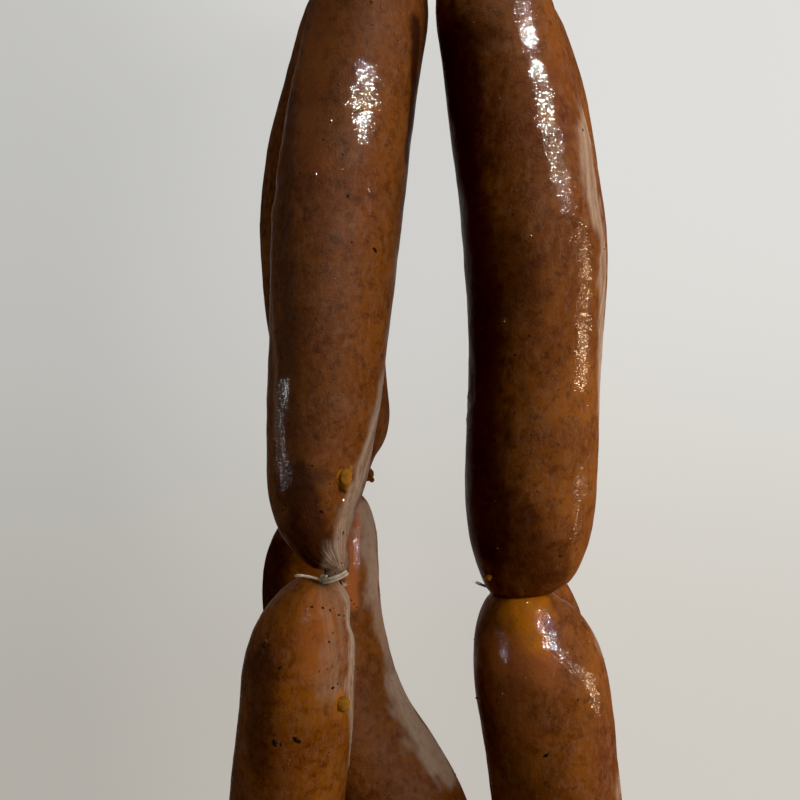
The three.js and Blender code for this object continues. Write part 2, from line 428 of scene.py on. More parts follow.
def casing_finish(look):
    """Smoked casing under a film of fat: mottled brown, paler where it is stretched or gathered dry and with
    painted sheen along its edges; painted shade darkens the sides away from the light, and painted light
    brightens some orange patches.
    """
    skin = Finish("oily_casing")
    colour = skin.mix(skin.ramp(skin.noise(17 * MM, 5, 0.6, 0.5), 0.36, 0.66), look.brown, look.orange)
    colour = skin.mix(skin.ramp(skin.noise(26 * MM, 4, 0.55, 0.3), 0.50, 0.72, 0, 0.75), colour, look.red)
    haze = skin.math("MULTIPLY", skin.noise(9 * MM, 6, 0.62, 0.8), skin.noise(31 * MM, 2))
    colour = skin.mix(skin.ramp(haze, 0.26, 0.46, 0, 0.55), colour, look.haze)
    colour = skin.mix(skin.ramp(skin.noise(2.6 * MM, 5, 0.7), 0.46, 0.66, 0, 0.48), colour, look.dark)
    brush = skin.noise(1.5 * MM, 5, 0.75, 0.4, (1, 0.5, 1))
    colour = skin.mix(skin.ramp(brush, 0.45, 0.66, 0, 0.5), colour, look.haze)
    # Painted shade: the dark colour laid over the dark mask's areas, on the sides away from the light and in
    # gaps where shade falls
    colour = skin.mix(skin.mask("dark"), colour, look.dark)
    cheese = skin.ramp(skin.noise(6 * MM, 4), 0.25, 0.6, 0.55, 1)
    cheese = skin.math("MULTIPLY", skin.mask("cheese"), cheese)
    colour = skin.mix(cheese, colour, look.cheese)
    # Brighter orange over the bright mask's areas, mostly painted light
    colour = skin.mix(skin.mask("bright"), colour, look.bright)
    # Pale colour over the pale mask: dry gathered casing, and painted sheen along the edges
    streak = skin.ramp(skin.noise(2.2 * MM, 4, 0.65), 0.25, 0.55, 0.68, 1)
    colour = skin.mix(skin.math("MULTIPLY", skin.mask("pale"), streak), colour, look.pale)
    fleck = skin.ramp(skin.dots(4.2 * MM), 0.05, 0.10, 1, 0)
    fleck = skin.math("MULTIPLY", fleck, skin.ramp(skin.noise(14 * MM, 2), 0.52, 0.60))
    colour = skin.mix(fleck, colour, look.fleck)

    grain = skin.math("SUBTRACT", skin.noise(0.42 * MM, 1, 0.4), 0.5)
    ripple = skin.noise(2.1 * MM, 2, 0.55, 0.6)
    torn = skin.ramp(skin.noise(0.9 * MM, 1, 0.6), 0.35, 0.65, -0.45, 0.45)
    shine = skin.ramp(skin.math("ADD", skin.mask("wet"), torn), 0.30, 0.48)
    shine = skin.math("MULTIPLY", shine, skin.ramp(skin.mask("wet"), 0.02, 0.15))
    patch = skin.ramp(skin.noise(12 * MM, 1, 0.6), 0.35, 0.62, 0.4, 1)
    lively = skin.ramp(skin.noise(2.4 * MM, 1, 0.5), 0.40, 0.60, 1.1, 2.5)
    patch = skin.math("MAXIMUM", patch, skin.math("MULTIPLY", shine, lively))
    fine = skin.bump(skin.math("MULTIPLY", grain, patch), 0.11 * MM, 1.0)
    relief = skin.bump(ripple, 0.12 * MM, 1.0, fine)
    rough = skin.ramp(skin.noise(7 * MM, 2, 0.6), 0.3, 0.7, 0.58, 0.70)
    film = skin.math("MAXIMUM", shine, skin.ramp(skin.noise(8 * MM, 3, 0.65), 0.55, 0.75, 0.0, 0.05))
    skin.set(Base_Color=colour, Roughness=rough, Normal=relief, IOR=1.12)
    skin.set(Coat_Weight=film, Coat_Normal=relief, Coat_Roughness=0.06, Coat_IOR=1.5)
    return skin.material


def twine_finish(look):
    """Off-white cotton twine, stained with fat in places."""
    cotton = Finish("cotton_twine")
    stain = cotton.ramp(cotton.noise(5 * MM, 4, 0.6), 0.42, 0.72)
    colour = cotton.mix(stain, look.clean, look.stained)
    fibre = cotton.noise(0.22 * MM, 3, 0.6)
    colour = cotton.mix(cotton.ramp(fibre, 0.35, 0.7, 0, 0.5), colour, look.stained)
    relief = cotton.bump(fibre, 0.12 * MM, 0.8)
    cotton.set(Base_Color=colour, Roughness=0.7, Normal=relief, Sheen_Weight=0.3, Sheen_Roughness=0.5)
    cotton.set(Subsurface_Weight=0.1, Subsurface_Radius=(1.0, 0.8, 0.6), Subsurface_Scale=0.6 * MM)
    return cotton.material


def cheese_finish(look):
    """Melted cheese with a skin of fat: translucent yellow, browned in spots."""
    cheese = Finish("melted_cheese")
    colour = cheese.mix(cheese.ramp(cheese.noise(1.6 * MM, 3), 0.35, 0.7), look.cheese, look.toasted)
    relief = cheese.bump(cheese.noise(0.6 * MM, 2), 0.2 * MM, 1.0)
    cheese.set(Base_Color=colour, Roughness=0.38, Normal=relief, IOR=1.32)
    cheese.set(Subsurface_Weight=0.4, Subsurface_Radius=(1.0, 0.6, 0.15), Subsurface_Scale=1.5 * MM)
    return cheese.material


def speck_finish(name, light, dark, rough):
    """Grains of pepper, crumbs or drops of fat, in two tones."""
    grain = Finish(name)
    colour = grain.mix(grain.ramp(grain.noise(0.7 * MM, 3), 0.35, 0.7), dark, light)
    relief = grain.bump(grain.noise(0.3 * MM, 2), 0.1 * MM, 0.8)
    grain.set(Base_Color=colour, Roughness=rough, Normal=relief, IOR=1.45)
    return grain.material


# Where the floor's glow grows stronger and whiter, in metres
FLOOR_FADE_X = (-0.13, 0.01)
FLOOR_FADE_Y = (-0.08, 0.12)


def floor_finish(colour, glow):
    """A plain pale matt floor that gives some light of its own, more of it at the right and the top."""
    floor = Finish("pale_floor")
    tone = floor.ramp(floor.noise(0.35, 2), 0.3, 0.7, 0, 0.25)
    axes = floor.add("ShaderNodeSeparateXYZ")
    floor.join(floor.place, axes.inputs[0])
    across = floor.ramp(axes.outputs["X"], *FLOOR_FADE_X, 0.93, 1.25)
    length = floor.ramp(axes.outputs["Y"], *FLOOR_FADE_Y, 0, 1)
    strength = floor.math("MULTIPLY", across, glow)
    strength = floor.math("MULTIPLY", strength, floor.ramp(length, 0, 1, 0.85, 1))
    floor.set(Base_Color=floor.mix(tone, colour, tuple(c * 0.96 for c in colour)), Roughness=0.9)
    floor.set(Specular_IOR_Level=0.1, Emission_Color=floor.mix(length, (1, 0.95, 0.86), (1, 0.995, 0.965)))
    floor.set(Emission_Strength=strength)
    return floor.material


# Casing


def quads(bm):
    """Joins the facets of the solid into the four-sided patches that they halve."""
    bm.edges.ensure_lookup_table()
    halves = []
    for edge in bm.edges:
        faces = edge.link_faces
        if len(faces) == 2 and all(len(f.edges) == 3 for f in faces):
            others = [e for f in faces for e in f.edges if e is not edge]
            if edge.calc_length() > 1.001 * max(e.calc_length() for e in others):
                halves.append(edge)
    bmesh.ops.dissolve_edges(bm, edges=halves, use_verts=False)


def fine_mesh(name, levels):
    """The link's solid as a fine smooth mesh."""
    bm = welded(name)
    quads(bm)
    coarse = bpy.data.meshes.new(name + "_coarse")
    bm.to_mesh(coarse)
    bm.free()
    holder = show(name + "_coarse", coarse)
    modifier = holder.modifiers.new("smooth", "SUBSURF")
    modifier.levels = levels
    shown = holder.evaluated_get(bpy.context.evaluated_depsgraph_get())
    mesh = bpy.data.meshes.new_from_object(shown)
    bpy.data.objects.remove(holder)
    bpy.data.meshes.remove(coarse)
    mesh.name = name + "_casing"
    return mesh


def track_gap(points, tree, track):
    """How far each point lies from a line drawn on the surface through pixels of the photograph."""
    spots = [np.array(photo_spot(tree, *pixel)[0]) for pixel in track]
    best = np.full(len(points), np.inf)
    for start, stop in zip(spots, spots[1:]):
        step = stop - start
        share = np.clip((points - start) @ step / max(step @ step, 1e-12), 0, 1)
        best = np.minimum(best, np.linalg.norm(points - start - share[:, None] * step, axis=1))
    return best


# Wide bulges: the link, the pixel of the bulge's top, its height and its half width in mm
BULGES = [
    ("link_2", (362, 128), 1.2, 11.0),
    ("link_2", (370, 12), 0.6, 9.0),
    ("link_7", (534, 20), 0.5, 9.0),
    ("link_7", (556, 128), 0.5, 9.0),
]

# Creases in the casing: the link, the pixels that a crease runs through, its depth and half width in mm
CREASES = [
    ("link_2", [(298, 149), (287, 152), (279, 157)], 0.45, 0.8),
    ("link_2", [(293, 162), (284, 165), (277, 168)], 0.35, 0.7),
    ("link_2", [(291, 174), (283, 175), (276, 178)], 0.35, 0.7),
    ("link_2", [(290, 217), (281, 215), (272, 212)], 0.60, 1.0),
    ("link_7", [(474, 395), (470, 402), (468, 410)], 0.40, 1.2),
    ("link_4", [(344, 528), (348, 531), (352, 530)], 0.20, 0.8),
    ("link_4", [(344, 541), (348, 543), (352, 542)], 0.22, 0.8),
    ("link_4", [(344, 552), (348, 554), (352, 553)], 0.22, 0.8),
    ("link_4", [(344, 562), (348, 564), (352, 563)], 0.20, 0.8),
    ("link_4", [(346, 573), (350, 575), (353, 574)], 0.18, 0.8),
    ("link_4", [(356, 520), (355, 545), (354, 575), (357, 600)], 0.30, 1.0),
]

# Pale streaks, dry gathered casing by the ties and painted sheen along the links' edges, where the casing
# reflects the bright surroundings: the link, the pixels on the way, the half width in mm and the strength
PALE_AND_SHEEN_STREAKS = [
    ("link_2", [
        (381, 388), (374, 425), (365, 460), (354, 498), (345, 524), (339, 549), (336, 566)], 3.7, 1.0),
    ("link_2", [(294, 60), (284, 110), (278, 155), (271, 215), (268, 260)], 0.9, 0.45),
    ("link_2", [(272, 300), (275, 380), (280, 470)], 1.4, 0.35),
    ("link_1", [(342, 586), (347, 620), (351, 680), (349, 760)], 2.6, 1.0),
    ("link_4", [(368, 510), (370, 545), (373, 585)], 5.0, 0.85),
    ("link_4", [(374, 595), (379, 620), (389, 658)], 4.4, 0.6),
    ("link_4", [(398, 685), (415, 725), (442, 762)], 6.5, 1.0),
    ("link_7", [(573, 70), (585, 150), (597, 215)], 3.8, 0.9),
    ("link_7", [(603, 230), (601, 330), (598, 430), (594, 520)], 2.8, 0.95),
    ("link_1", [(330, 590), (334, 640), (332, 690)], 4.0, 0.3),
    ("link_8", [(554, 593), (577, 606), (597, 645), (611, 690)], 3.2, 0.75),
    ("link_8", [(611, 690), (617, 740), (619, 790)], 3.0, 0.8),
]

# Painted shade, darker on the sides turned away from the light and in the gaps and creases where shade falls:
# the link, the pixels they run along, their half width in mm and their strength
PAINTED_SHADE_AREAS = [
    ("link_7", [(452, 40), (468, 200), (480, 300), (478, 400), (490, 540)], 9.5, 0.75),
    ("link_7", [(505, 250), (512, 290)], 7.0, 0.5),
    ("link_7", [(512, 530), (540, 572)], 8.0, 0.6),
    ("link_2", [(416, 20), (413, 90), (406, 160)], 2.2, 0.85),
    ("link_2", [(300, 480), (305, 520), (318, 556)], 6.0, 0.75),
    ("link_2", [(292, 100), (286, 200), (286, 300)], 3.0, 0.35),
    ("link_2", [(290, 320), (286, 380), (288, 450)], 5.0, 0.4),
    ("link_1", [(262, 660), (262, 700), (255, 760)], 4.5, 0.5),
    ("link_8", [(486, 620), (486, 690), (496, 760)], 3.6, 0.35),
    ("link_8", [(500, 597), (530, 592), (545, 593)], 2.2, 0.8),
    ("link_4", [(270, 560), (268, 600)], 9.0, 0.8),
]

# Brighter orange areas, mostly painted light where the links should look more lit; on link_4 a real orange
# strip, made brighter to make up for the shade it lies in: the link, the pixels they run along, their half
# width in mm and their strength
ORANGE_AND_PAINTED_LIGHT_AREAS = [
    ("link_4", [(361, 508), (357, 530), (353, 555), (351, 580), (354, 604)], 2.0, 1.0),
    ("link_1", [(314, 615), (318, 660)], 5.5, 0.35),
    ("link_8", [(498, 652), (540, 668)], 6.0, 0.55),
    ("link_8", [(502, 690), (520, 730)], 6.0, 0.3),
    ("link_2", [(318, 20), (312, 100), (312, 160)], 5.0, 0.35),
]

# Wet shiny areas: the link, the pixels they run along, their half width in mm and their strength
WET_AREAS = [
    ("link_2", [(362, 74), (375, 86)], 3.0, 0.6),
    ("link_2", [(357, 96), (365, 114)], 4.4, 1.0),
    ("link_2", [(360, 126), (362, 140)], 1.6, 0.6),
    ("link_2", [(372, 190), (376, 225)], 2.0, 0.9),
    ("link_2", [(281, 392), (279, 440), (284, 485)], 2.6, 0.55),
    ("link_7", [(518, -20), (526, 30), (541, 85), (549, 130), (563, 185), (569, 206)], 2.6, 0.68),
    ("link_7", [(584, 230), (586, 300), (583, 380)], 2.3, 0.6),
    ("link_7", [(580, 480), (578, 540)], 2.3, 0.5),
    ("link_8", [(546, 614), (549, 640)], 2.3, 1.0),
    ("link_8", [(499, 634), (506, 655)], 1.6, 0.9),
    ("link_8", [(556, 650), (575, 670), (588, 680)], 1.6, 0.5),
    ("link_8", [(590, 680), (597, 712)], 1.8, 0.6),
    ("link_1", [(311, 596), (307, 622)], 1.8, 0.5),
    ("link_4", [(354, 520), (356, 560)], 1.5, 0.7),
]

# Cheese that shows through the casing: the link, the pixels on the way, the half width in mm and the strength
CHEESE_AREAS = [
    ("link_8", [(524, 608), (532, 640)], 5.0, 0.95),
    ("link_8", [(536, 604), (537, 640)], 3.0, 0.8),
    ("link_8", [(496, 650), (500, 670)], 2.0, 0.4),
    ("link_2", [(346, 475), (344, 486)], 2.0, 0.9),
    ("link_1", [(343, 700), (343, 708)], 2.4, 0.5),
    ("link_7", [(547, 118), (549, 124)], 2.0, 0.25),
]

# Areas that the casing's material reads, by the name of their mask
AREAS = {"wet": WET_AREAS, "bright": ORANGE_AND_PAINTED_LIGHT_AREAS, "dark": PAINTED_SHADE_AREAS, "cheese": CHEESE_AREAS}

# Fine threads in the pale streaks: their height, and how far they break the streaks up, less on link_4
THREAD_HEIGHT = 0.14 * MM
THREAD_BREAK = 0.8
SOFT_BREAKS = {"link_4": 0.2}


def area_mask(areas, name, points, tree, seed):
    """How strongly each point of a link lies in the listed areas, with ragged edges."""
    ragged = 1 + 0.45 * cloud(points, 4.5 * MM, seed) + 0.2 * cloud(points, 1.6 * MM, seed + 1)
    mask = np.zeros(len(points))
    for link, track, half_width, strength in areas:
        if link == name:
            gap = track_gap(points, tree, track) * ragged
            mask = np.maximum(mask, strength * (1 - smooth(0.45, 1.25, gap / (half_width * MM))))
    return mask


def pleats(around, along, reach, seed):
    """Sharp valleys that run along the link, closest together at its tie."""
    ring = np.stack([np.cos(around), np.sin(around)], axis=1)
    drift = along[:, None] / reach
    wide = cloud(np.hstack([ring * 2.3, drift * 0.9]), 1.0, seed)
    tight = cloud(np.hstack([ring * 4.6, drift * 1.6]), 1.0, seed + 1)
    return np.exp(-np.abs(wide) / 0.16) + 0.55 * np.exp(-np.abs(tight) / 0.2)


def fine_lines(around, along, seed):
    """Fine lines that run along the link, about -1 to 1."""
    ring = np.stack([np.cos(around), np.sin(around)], axis=1)
    return cloud(np.hstack([ring * 17, along[:, None] / (22 * MM)]), 1.0, seed)


# Ends that press against the next link and hide the tie between them: 0 for the first end, 1 for the second
PRESSED_ENDS = {"link_7": 1, "link_8": 0}
RIM_INNER = (3.3 * MM, 4.2 * MM)
RIM_OUTER = (6 * MM, 10.5 * MM)
RIM_REACH = 5 * MM
RIM_GAP = 0.05 * MM


def press(points, centre, axis, end):
    """How far the rim of a link's end bulges out along the string, to meet the next link."""
    run = (points - centre) @ axis
    off = np.linalg.norm(points - centre - run[:, None] * axis, axis=1)
    gap = -run if end else run
    rim = smooth(*RIM_INNER, off) * (1 - smooth(*RIM_OUTER, off))
    reach = np.clip(gap - RIM_GAP, 0, RIM_REACH) * (1 - smooth(RIM_REACH, 2 * RIM_REACH, gap))
    return axis * ((1 if end else -1) * reach * rim)[:, None]


def neck(number, lines):
    """The middle of the neck between two links, and the string's direction there."""
    before, after = lines[f"link_{number - 1}"], lines[f"link_{number}"]
    axis = after.at[1] - before.at[-2]
    return (before.at[-1] + after.at[0]) / 2, axis / np.linalg.norm(axis)


def dress_link(name, lines, sizes, material):
    """One link: its solid made smooth, with lumps, pleats and creases, and masks for its colours."""
    number = int(name.split("_")[1])
    seeds = {form: first + number for form, first in SEEDS.items()}
    line = lines[name]
    tree = surface_tree(frame["nodes"][name].data)
    mesh = fine_mesh(name, sizes.levels)
    points = mesh_points(mesh)
    normals = mesh_normals(mesh)
    along, around, off = line.unroll(points)
    body = smooth(3 * MM, 9 * MM, off)

    push = np.full(len(points), sizes.swell)
    lumps = cloud(points, 19 * MM, seeds["lumps"]) + 0.4 * cloud(points, 8 * MM, seeds["small_lumps"])
    push += sizes.lump * lumps
    push += sizes.ripple * cloud(points, 3.4 * MM, seeds["ripple"]) * body
    for index, end in enumerate((along, line.length - along)):
        if PRESSED_ENDS.get(name) != index:
            fade = 1 - smooth(0.25, 1.0, end / sizes.pleat_reach)
            folds = pleats(around, end, sizes.pleat_reach, seeds["pleats"])
            push -= sizes.pleat * fade * folds * smooth(2 * MM, 7 * MM, off)
    pale = area_mask(PALE_AND_SHEEN_STREAKS, name, points, tree, seeds["pale"])
    threads = fine_lines(around, along, seeds["threads"])
    push += THREAD_HEIGHT * pale * threads
    for link, pixel, height, half_width in BULGES:
        if link == name:
            gap = np.linalg.norm(points - np.array(photo_spot(tree, *pixel)[0]), axis=1)
            push += height * MM * np.exp(-(gap / (half_width * MM)) ** 2)
    for link, track, depth, half_width in CREASES:
        if link == name:
            gap = track_gap(points, tree, track) / (half_width * MM)
            push -= depth * MM * (np.exp(-gap ** 2) - 0.55 * np.exp(-(gap - 1.7) ** 2))

    moved = points + normals * push[:, None]
    if name in PRESSED_ENDS:
        end = PRESSED_ENDS[name]
        moved += press(points, *neck(number + end, lines), end)
    moved[:, 2] = np.maximum(moved[:, 2], 0)
    put_points(mesh, moved)
    broken = SOFT_BREAKS.get(name, THREAD_BREAK)
    put_mask(mesh, "pale", pale * np.clip(1 - broken * (0.4 - threads), 0.15, 1))
    for mask, areas in AREAS.items():
        put_mask(mesh, mask, area_mask(areas, name, points, tree, seeds[mask]))
    piece = show(name + "_casing", mesh, material)
    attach(piece, "root")
    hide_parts(name)


# Twine

TWINE_STEP = 0.28 * MM
PLIES = 3
PLY_SIDES = 7
HAIRS = 7
HAIR_RADIUS = 0.055 * MM
WRAP_STEPS = 60
KNOT_STEPS = 40
TAIL_STEPS = 14


def tube(path, radius, sides, taper):
    """Points and faces of a closed tube along a path."""
    tangent = headings(path)
    ups = carried(np.cross(tangent[0], [0.31, 0.77, 0.55]), tangent)
    points, faces = [], []
    turns = np.arange(sides) * 2 * math.pi / sides
    for spot, up, side, size in zip(path, ups, np.cross(tangent, ups), radius * taper):
        points += [spot + size * (math.cos(a) * up + math.sin(a) * side) for a in turns]
    for i in range(len(path) - 1):
        for j in range(sides):
            k = (j + 1) % sides
            faces.append((i * sides + j, i * sides + k, (i + 1) * sides + k, (i + 1) * sides + j))
    faces.append(tuple(range(sides))[::-1])
    faces.append(tuple(range((len(path) - 1) * sides, len(path) * sides)))
    return points, faces


class Bundle:
    """Many small meshes gathered into one."""

    def __init__(self):
        self.points = []
        self.faces = []

    def take(self, points, faces):
        first = len(self.points)
        self.points += list(points)
        self.faces += [tuple(first + i for i in face) for face in faces]

    def mesh(self, name):
        return mesh_of(name, self.points, self.faces)


def even_path(path, step):
    """A path with its points evenly spaced."""
    path = np.asarray(path, float)
    run = run_along(path)
    return between(np.linspace(0, run[-1], max(int(run[-1] / step), 4)), run, path)


def bow(start, middle, stop):
    """A curved path through three points."""
    t = np.linspace(0, 1, TAIL_STEPS)[:, None]
    control = 2 * middle - (start + stop) / 2
    return (1 - t) ** 2 * start + 2 * t * (1 - t) * control + t ** 2 * stop


def lay_twine(bundle, path, radius, pitch, rng, frayed=False):
    """Three plies twisted round a path, with loose fibres at a frayed end."""
    path = even_path(path, TWINE_STEP)
    tangent = headings(path)
    ups = carried(np.cross(tangent[0], [0.42, 0.35, 0.84]), tangent)
    sides = np.cross(tangent, ups)
    run = run_along(path)
    spread = 1 + (1.1 * smooth(run[-1] - 2.5 * MM, run[-1], run) if frayed else 0 * run)
    for ply in range(PLIES):
        turn = 2 * math.pi * (run / pitch + ply / PLIES)
        lift = (0.48 * radius * spread)[:, None]
        strand = path + lift * (np.cos(turn)[:, None] * ups + np.sin(turn)[:, None] * sides)
        taper = np.ones(len(path))
        if frayed:
            taper = 1 - 0.55 * smooth(run[-1] - 2.2 * MM, run[-1], run)
        bundle.take(*tube(strand, 0.54 * radius, PLY_SIDES, taper))
    if frayed:
        for _ in range(HAIRS):
            at = path[-1] - tangent[-1] * rng.uniform(0, 1.8) * MM
            way = tangent[-1] + rng.normal(0, 0.42, 3)
            bend = rng.normal(0, 0.5, 3)
            reach = rng.uniform(0.6, 1.6) * MM
            t = np.linspace(0, 1, 6)[:, None]
            hair = at + reach * (t * way + 0.5 * t ** 2 * bend)
            hair[:, 2] = np.maximum(hair[:, 2], 0.1 * MM)
            bundle.take(*tube(hair, HAIR_RADIUS, 4, np.linspace(1, 0.4, 6)))


TIE_SEED = 300

# Ties whose wraps lie askew: the turn seen from above in degrees, the shift to the right and the radius in mm
ASKEW_TIES = {"tie_2": (26, 0.9, 3.1)}


def tie_frame(name, lines):
    """A tie's solid as points, the middle of the neck inside it and the neck's direction there."""
    points = mesh_points(frame["nodes"][name].data)
    number = int(name.split("_")[1])
    before, after = lines.get(f"link_{number - 1}"), lines.get(f"link_{number}")
    if before and after:
        centre, axis = neck(number, lines)
    else:
        line = before or after
        along, foot = line.nearest(points)
        round_neck = np.linalg.norm(points - foot, axis=1) < 4.6 * MM
        centre = foot[round_neck].mean(axis=0)
        index = int(round(along[round_neck].mean() / line.length * (line.STATIONS - 1)))
        axis = line.tangent[index]
    return points, centre, axis / np.linalg.norm(axis)


def tie_twine(name, lines, sizes, material, rng):
    """One tie: two wraps of twine round the neck, a knot and two frayed tails."""
    points, centre, axis = tie_frame(name, lines)
    far = np.linalg.norm(points - centre, axis=1)
    tip = points[np.argmax(far)]
    other_gap = np.linalg.norm(points - tip, axis=1) + far
    tip_two = points[np.argmax(np.where(far > 5.5 * MM, other_gap, 0))]
    turn, shift, wrap = ASKEW_TIES.get(name, (0, 0, sizes.wrap_radius / MM))
    axis = np.array(Matrix.Rotation(math.radians(turn), 3, "Z") @ Vector(axis))
    centre = centre + np.array([shift * MM, 0, 0])
    wrap = wrap * MM
    out = (tip + tip_two) / 2 - centre
    out -= axis * (out @ axis)
    out /= np.linalg.norm(out)
    across = np.cross(axis, out)

    bundle = Bundle()
    turns = np.linspace(-0.15, 2.15, WRAP_STEPS) * 2 * math.pi
    climb = (np.linspace(-0.5, 0.5, WRAP_STEPS) * 4.6 * sizes.radius)[:, None]
    rise = 1 + 0.03 * np.sin(turns * 1.5 + rng.uniform(0, 6))
    loop = centre + axis * climb
    loop = loop + wrap * rise[:, None] * (np.cos(turns)[:, None] * out + np.sin(turns)[:, None] * across)
    lay_twine(bundle, loop, sizes.radius, sizes.pitch, rng)

    knot = centre + out * (wrap + 0.9 * sizes.radius)
    curl = np.linspace(0, 3.1 * math.pi, KNOT_STEPS)
    coil = knot + sizes.radius * 1.15 * (np.cos(curl)[:, None] * out + np.sin(curl)[:, None] * axis)
    coil = coil + across * (np.linspace(-0.9, 0.9, KNOT_STEPS) * sizes.radius)[:, None]
    lay_twine(bundle, coil, sizes.radius * 0.9, sizes.pitch, rng)

    for end, sway in ((tip, 1), (tip_two, -1)):
        half = (knot + end) / 2 + axis * (0.5 * sway * MM) + out * (0.4 * MM)
        lay_twine(bundle, bow(knot, half, end), sizes.radius * 0.95, sizes.pitch, rng, frayed=True)

    piece = show(name + "_twine", bundle.mesh(name + "_twine"), material)
    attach(piece, "root")
    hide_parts(name)


# Cheese, pepper, crumbs and fat


def pebble(centre, normal, size, seed, detail, rough):
    """A small irregular grain: three radii, the last one along the surface's normal."""
    bm = bmesh.new()
    bmesh.ops.create_icosphere(bm, subdivisions=detail, radius=1)
    ball = np.array([v.co for v in bm.verts])
    faces = [tuple(v.index for v in f.verts) for f in bm.faces]
    bm.free()
    ball *= (1 + rough * cloud(ball, 0.9, seed) + 0.5 * rough * cloud(ball, 0.4, seed + 1))[:, None]
    normal = np.asarray(normal)
    turn = np.random.default_rng(seed).uniform(0, 2 * math.pi)
    side = np.cross(normal, [math.cos(turn), math.sin(turn), 0.2])
    side /= np.linalg.norm(side)
    cross = np.cross(normal, side)
    shape = np.stack([side * size[0], cross * size[1], normal * size[2]])
    return np.asarray(centre) + ball @ shape, faces


# Beads of melted cheese: the link, the bead's pixel, its three radii in mm and how far it stands out
CHEESE_BEADS = [
    ("link_1", (343, 704), (1.6, 1.8, 0.55), 0.0),
    ("link_2", (346, 477), (1.5, 2.1, 0.40), 0.0),
    ("link_2", (343, 487), (1.3, 1.5, 0.45), 0.0),
    ("link_2", (350, 469), (0.6, 0.9, 0.40), 0.1),
    ("link_3", (370, 473), (1.0, 1.3, 0.9), 0.2),
    ("link_3", (371, 479), (0.8, 1.0, 0.8), 0.2),
    ("link_7", (490, 577), (0.8, 1.1, 0.8), 0.5),
]

BEAD_SEED = 400

# Dark grains of pepper and char: the link, then each grain's pixel and its radius in mm
PEPPER_SPOTS = [
    ("link_1", [
        (275, 743, 0.9), (297, 740, 0.9), (281, 744, 0.5), (333, 688, 0.6), (280, 668, 0.7),
        (264, 646, 0.6), (312, 607, 0.5), (323, 608, 0.5), (330, 610, 0.5), (339, 615, 0.6),
        (344, 616, 0.5), (333, 633, 0.4), (341, 583, 0.9),
    ]),
    ("link_8", [(547, 755, 0.8), (578, 700, 0.4)]),
    ("link_2", [
        (375, 250, 0.6), (322, 512, 0.7), (343, 533, 0.4), (352, 242, 0.4), (348, 196, 0.4),
    ]),
    ("link_7", [(604, 249, 0.5), (583, 130, 0.5), (520, 560, 0.4), (560, 556, 0.6)]),
]

# Crumbs on the outline: the link, then each crumb's pixel and its radius in mm
CRUMB_SPOTS = [
    ("link_7", [
        (606, 332, 0.5), (605, 354, 0.7), (604, 360, 0.5), (602, 381, 0.6), (601, 398, 0.5),
        (600, 436, 0.5), (599, 455, 0.5), (599, 472, 0.9), (597, 483, 0.5), (590, 548, 0.5),
        (586, 554, 0.4), (467, 533, 0.6), (445, 106, 0.5), (449, 131, 0.4), (458, 211, 0.5),
        (459, 222, 0.6), (464, 280, 0.4), (469, 430, 0.4),
    ]),
    ("link_8", [(477, 698, 0.7), (617, 740, 0.5), (484, 668, 0.4)]),
    ("link_2", [(266, 372, 0.6), (265, 385, 0.5), (268, 430, 0.4)]),
    ("link_3", [(259, 232, 0.5), (264, 262, 0.4)]),
    ("link_1", [(233, 775, 0.5)]),
]

# Drops of fat: the link, then each drop's pixel and its radius in mm
FAT_SPOTS = [
    ("link_7", [(538, 491, 0.4)]),
    ("link_2", [(331, 121, 0.5), (345, 478, 0.4)]),
    ("link_8", [(573, 628, 0.6)]),
    ("link_1", [(266, 641, 0.6), (341, 699, 0.5)]),
    ("link_2", [
        (372, 2, 0.5), (381, 7, 0.4), (373, 25, 0.4), (394, 34, 0.4), (398, 40, 0.4),
        (343, 154, 0.4), (363, 161, 0.3), (343, 170, 0.4),
    ]),
    ("link_4", [(351, 600, 0.5), (354, 604, 0.4), (357, 607, 0.5), (352, 609, 0.3)]),
]

# Kinds of grain: the piece, its listed spots, its thickness as a share of its radius, the share of that
# which sinks in, the seed, and the smallest and largest radius in mm of the scattered ones
GRAINS = [
    ("pepper_grains", PEPPER_SPOTS, 0.3, 0.2, 500, (0.15, 0.35)),
    ("crumb_grains", CRUMB_SPOTS, 0.75, 0.1, 520, (0.15, 0.4)),
    ("fat_drops", FAT_SPOTS, 0.5, 0.1, 540, (0.12, 0.36)),
]


def link_tree(name):
    """A search tree over a dressed link."""
    return surface_tree(bpy.data.objects[name + "_casing"].data)


def place_spots(spots, name, material, thickness, sink, seed, extra):
    """Lays grains on the links at the listed pixels and at the extra places, as one piece."""
    trees = {link: link_tree(link) for link in LINKS}
    bundle = Bundle()
    rng = np.random.default_rng(seed)
    listed = [(*photo_spot(trees[link], x, y), radius) for link, marks in spots for x, y, radius in marks]
    for index, (place, normal, radius) in enumerate(listed + extra):
        size = np.array([rng.uniform(0.9, 1.5), rng.uniform(0.45, 0.8), thickness]) * radius * MM
        centre = np.array(place) - np.array(normal) * (sink * size[2])
        centre[2] = max(centre[2], size[:2].max())
        bundle.take(*pebble(centre, normal, size, seed + 2 * index, detail=1, rough=0.4))
    piece = show(name, bundle.mesh(name), material)
    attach(piece, "root")


def scattered(count, low, high, seed):
    """Random places spread over the links, with their normals and radii in mm."""
    rng = np.random.default_rng(seed)
    spots = []
    for _ in range(count):
        mesh = bpy.data.objects[f"{LINKS[rng.integers(len(LINKS))]}_casing"].data
        face = mesh.polygons[int(rng.integers(len(mesh.polygons)))]
        spots.append((face.center.copy(), face.normal.copy(), rng.uniform(low, high)))
    return spots


# Settings


def length_setting(name, description, size):
    """A setting for a length, given in mm."""
    return FloatProperty(name=name, description=description, default=size * MM, unit="LENGTH")


def power_setting(name, description, watts):
    """A setting for a light's power."""
    return FloatProperty(name=name, description=description, default=watts, unit="POWER")


